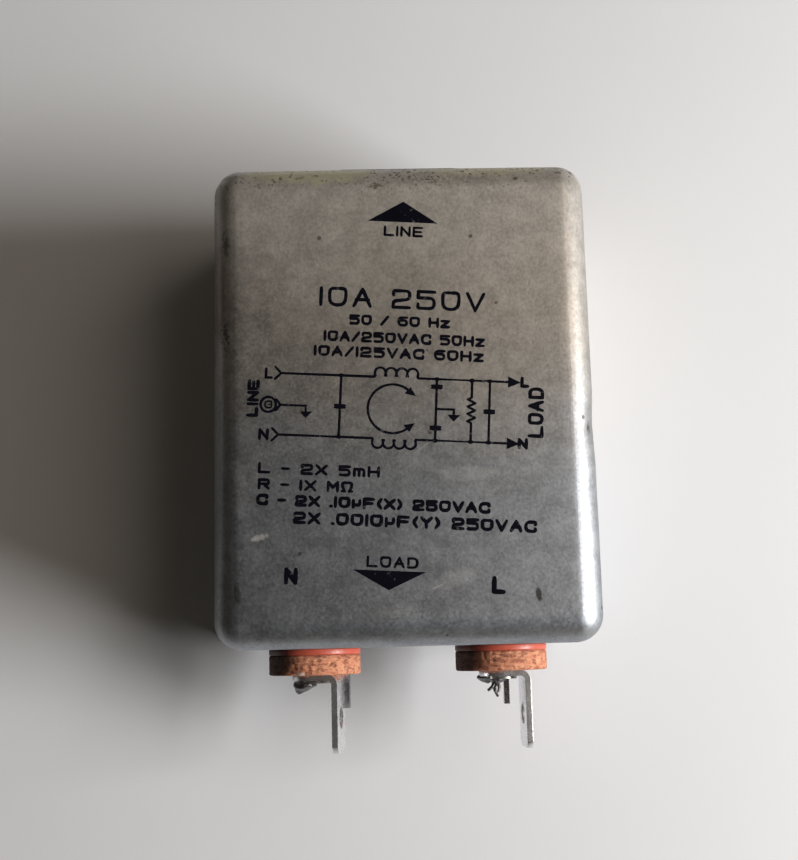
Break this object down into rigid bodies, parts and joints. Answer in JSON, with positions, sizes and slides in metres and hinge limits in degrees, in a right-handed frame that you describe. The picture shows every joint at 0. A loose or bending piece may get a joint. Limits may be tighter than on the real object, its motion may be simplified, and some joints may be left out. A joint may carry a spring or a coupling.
{
  "type": "rfi filter",
  "caption": "Mains interference filter in a drawn tinned can, with a recessed cord inlet at one end and insulated solder-and-push-on load tabs at the other.",
  "frame": {"origin": "centre of the can's base, at the level it rests on", "axes": "+Z out of the label face, +Y out of the line end with the inlet, load tabs at -Y, live side at +X"},
  "size_m": [0.0508, 0.0802, 0.0318],
  "materials": {
    "tinned_can": "matte mottled tin plate, handled and lightly stained",
    "tinned_cover": "matte tin plate",
    "insulating_paper": "smooth fish paper",
    "natural_nylon": "natural nylon",
    "paper_phenolic": "brown laminate",
    "bright_solder": "bright tin-lead solder",
    "dull_solder": "dark oxidised solder with a flux film",
    "black_moulding": "moulded black thermoplastic",
    "zinc_plated_steel": "zinc plate",
    "plated_pin": "nickel-plated brass",
    "brown_wire": "brown insulation",
    "blue_wire": "blue insulation",
    "green_wire": "green insulation",
    "tinned_lug": "tin plate",
    "coated_ferrite": "ferrite with an epoxy coat",
    "enamelled_copper": "enamelled copper wire",
    "insulating_board": "pressed insulating board",
    "film_capacitor_case": "moulded case",
    "disc_capacitor_coat": "dipped epoxy coat",
    "resistor_coat": "lacquer",
    "red_bush": "smooth red insulating compound",
    "brown_fibre": "coarse vulcanised fibre, pitted",
    "tinned_rivet": "tinned brass, dulled",
    "tinned_tab": "tinned brass"
  },
  "bodies": {
    "root": {"case_can": "tinned_can", "base_cover": "tinned_cover", "insulating_sheet": "insulating_paper", "board_posts": "natural_nylon", "circuit_board": "paper_phenolic", "solder_joints": "bright_solder", "inlet_body": "black_moulding", "inlet_retainer": "zinc_plated_steel", "live_pin": "plated_pin", "neutral_pin": "plated_pin", "earth_pin": "plated_pin", "live_lead": "brown_wire", "neutral_lead": "blue_wire", "earth_lead": "green_wire", "board_earth_lead": "green_wire", "earth_lug": "tinned_lug", "choke_core": "coated_ferrite", "live_winding": "enamelled_copper", "neutral_winding": "enamelled_copper", "choke_divider": "insulating_board", "line_x_capacitor": "film_capacitor_case", "load_x_capacitor": "film_capacitor_case", "live_y_capacitor": "disc_capacitor_coat", "neutral_y_capacitor": "disc_capacitor_coat", "bleed_resistor": "resistor_coat", "live_load_bush": "red_bush", "live_fibre_washer": "brown_fibre", "live_inner_washer": "brown_fibre", "live_rivet": "tinned_rivet", "live_load_tab": "tinned_tab", "live_load_lead": "brown_wire", "live_tab_solder": "dull_solder", "neutral_load_bush": "red_bush", "neutral_fibre_washer": "brown_fibre", "neutral_inner_washer": "brown_fibre", "neutral_rivet": "tinned_rivet", "neutral_load_tab": "tinned_tab", "neutral_load_lead": "blue_wire", "neutral_tab_solder": "dull_solder"}
  },
  "joints": []
}
